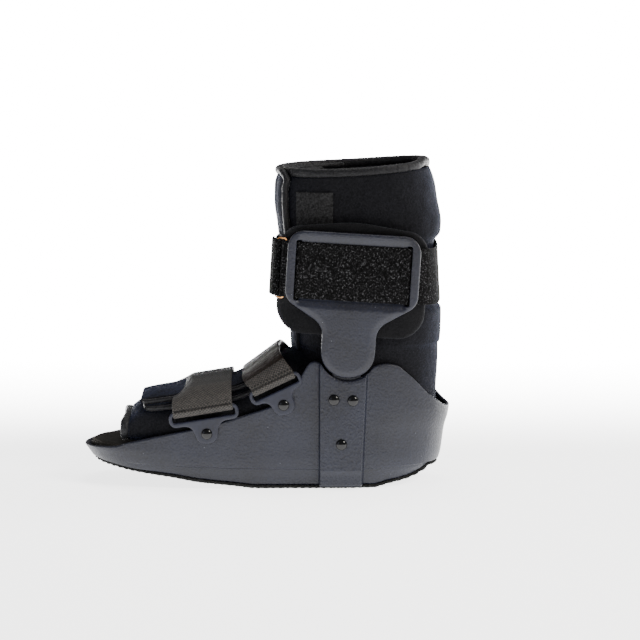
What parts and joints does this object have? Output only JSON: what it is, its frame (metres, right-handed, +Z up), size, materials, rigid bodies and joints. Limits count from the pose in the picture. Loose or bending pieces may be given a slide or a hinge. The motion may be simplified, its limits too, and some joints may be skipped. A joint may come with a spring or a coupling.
{
  "type": "medical walking boot",
  "caption": "Short orthopaedic walking boot: rigid rocker-soled shell with side uprights, a padded soft liner inside, and webbing straps across the foot and round the calf.",
  "frame": {"origin": "on the ground under the flat of the rocker sole, at mid-length between the toe rim and the heel rim", "axes": "+X from toe to heel, -X to the toe; +Y to the right side of the boot; +Z up"},
  "size_m": [0.3072, 0.129, 0.272],
  "materials": {
    "shell_plastic": "fine moulded grain, satin",
    "ring_plastic": "smooth satin",
    "rivet_black": "gloss black domed head",
    "liner_cloth": "brushed loop fabric on foam",
    "pad_cloth": "knit laminated to foam",
    "binding_tape": "folded stretch tape with sheen",
    "webbing": "woven nylon webbing",
    "loop_strap": "napped loop strap",
    "hook_tape": "hook tape",
    "insole_foam": "soft foam",
    "sole_rubber": "moulded tread rubber",
    "ring_wire": "polished copper-coloured wire"
  },
  "bodies": {
    "root": {"outsole": "sole_rubber", "shell": "shell_plastic", "insole": "insole_foam", "liner": "liner_cloth", "leg_flap": "liner_cloth", "foot_flap_under": "liner_cloth", "foot_flap_over": "liner_cloth", "top_binding": "binding_tape", "leg_flap_binding": "binding_tape", "toe_binding": "binding_tape", "fastening_patch": "hook_tape", "calf_strap": "loop_strap", "calf_ring": "ring_wire", "upright_left": "shell_plastic", "upright_right": "shell_plastic", "pad_left": "pad_cloth", "pad_right": "pad_cloth", "upright_rivet_left_1": "rivet_black", "upright_rivet_left_2": "rivet_black", "upright_rivet_left_3": "rivet_black", "upright_rivet_right_1": "rivet_black", "upright_rivet_right_2": "rivet_black", "upright_rivet_right_3": "rivet_black", "forefoot_strap": "webbing", "instep_strap": "webbing", "forefoot_ring_left": "ring_plastic", "forefoot_ring_right": "ring_plastic", "instep_ring_left": "ring_plastic", "instep_ring_right": "ring_plastic", "forefoot_rivet_left": "rivet_black", "forefoot_rivet_right": "rivet_black", "instep_rivet_left": "rivet_black", "instep_rivet_right": "rivet_black"}
  },
  "joints": []
}
